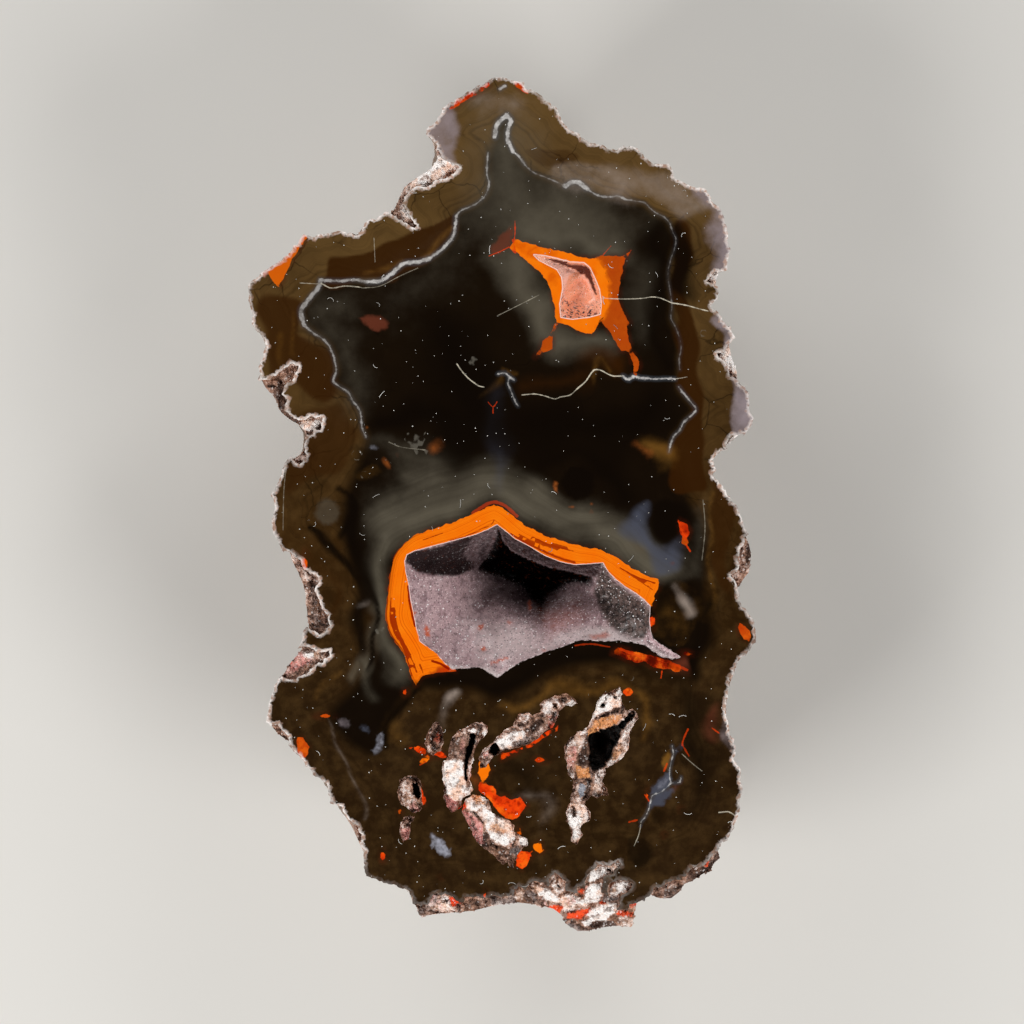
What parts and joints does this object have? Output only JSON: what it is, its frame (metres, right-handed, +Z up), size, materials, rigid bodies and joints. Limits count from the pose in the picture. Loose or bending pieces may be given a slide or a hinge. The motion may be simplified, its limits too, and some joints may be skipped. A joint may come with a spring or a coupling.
{
  "type": "crater agate half",
  "caption": "Half of a lumpy crater agate nodule, cut and polished on one face, with a crystal-lined hollow and a rough rind back.",
  "frame": {"origin": "centre of the footprint on the surface that the stone rests on, under the middle of the cut face", "axes": "+Z up, square out of the polished cut face; +Y along the length towards the pointed end; +X across the face"},
  "size_m": [0.0508, 0.0856, 0.027],
  "materials": {
    "polished_agate": "polished cut face, rough rind on the back",
    "grey_druse": "small bright crystal faces",
    "pink_druse": "fine sugary crystals"
  },
  "bodies": {
    "root": {"agate": "polished_agate", "crater_crystals": "grey_druse", "pocket_crystals": "pink_druse"}
  },
  "joints": []
}
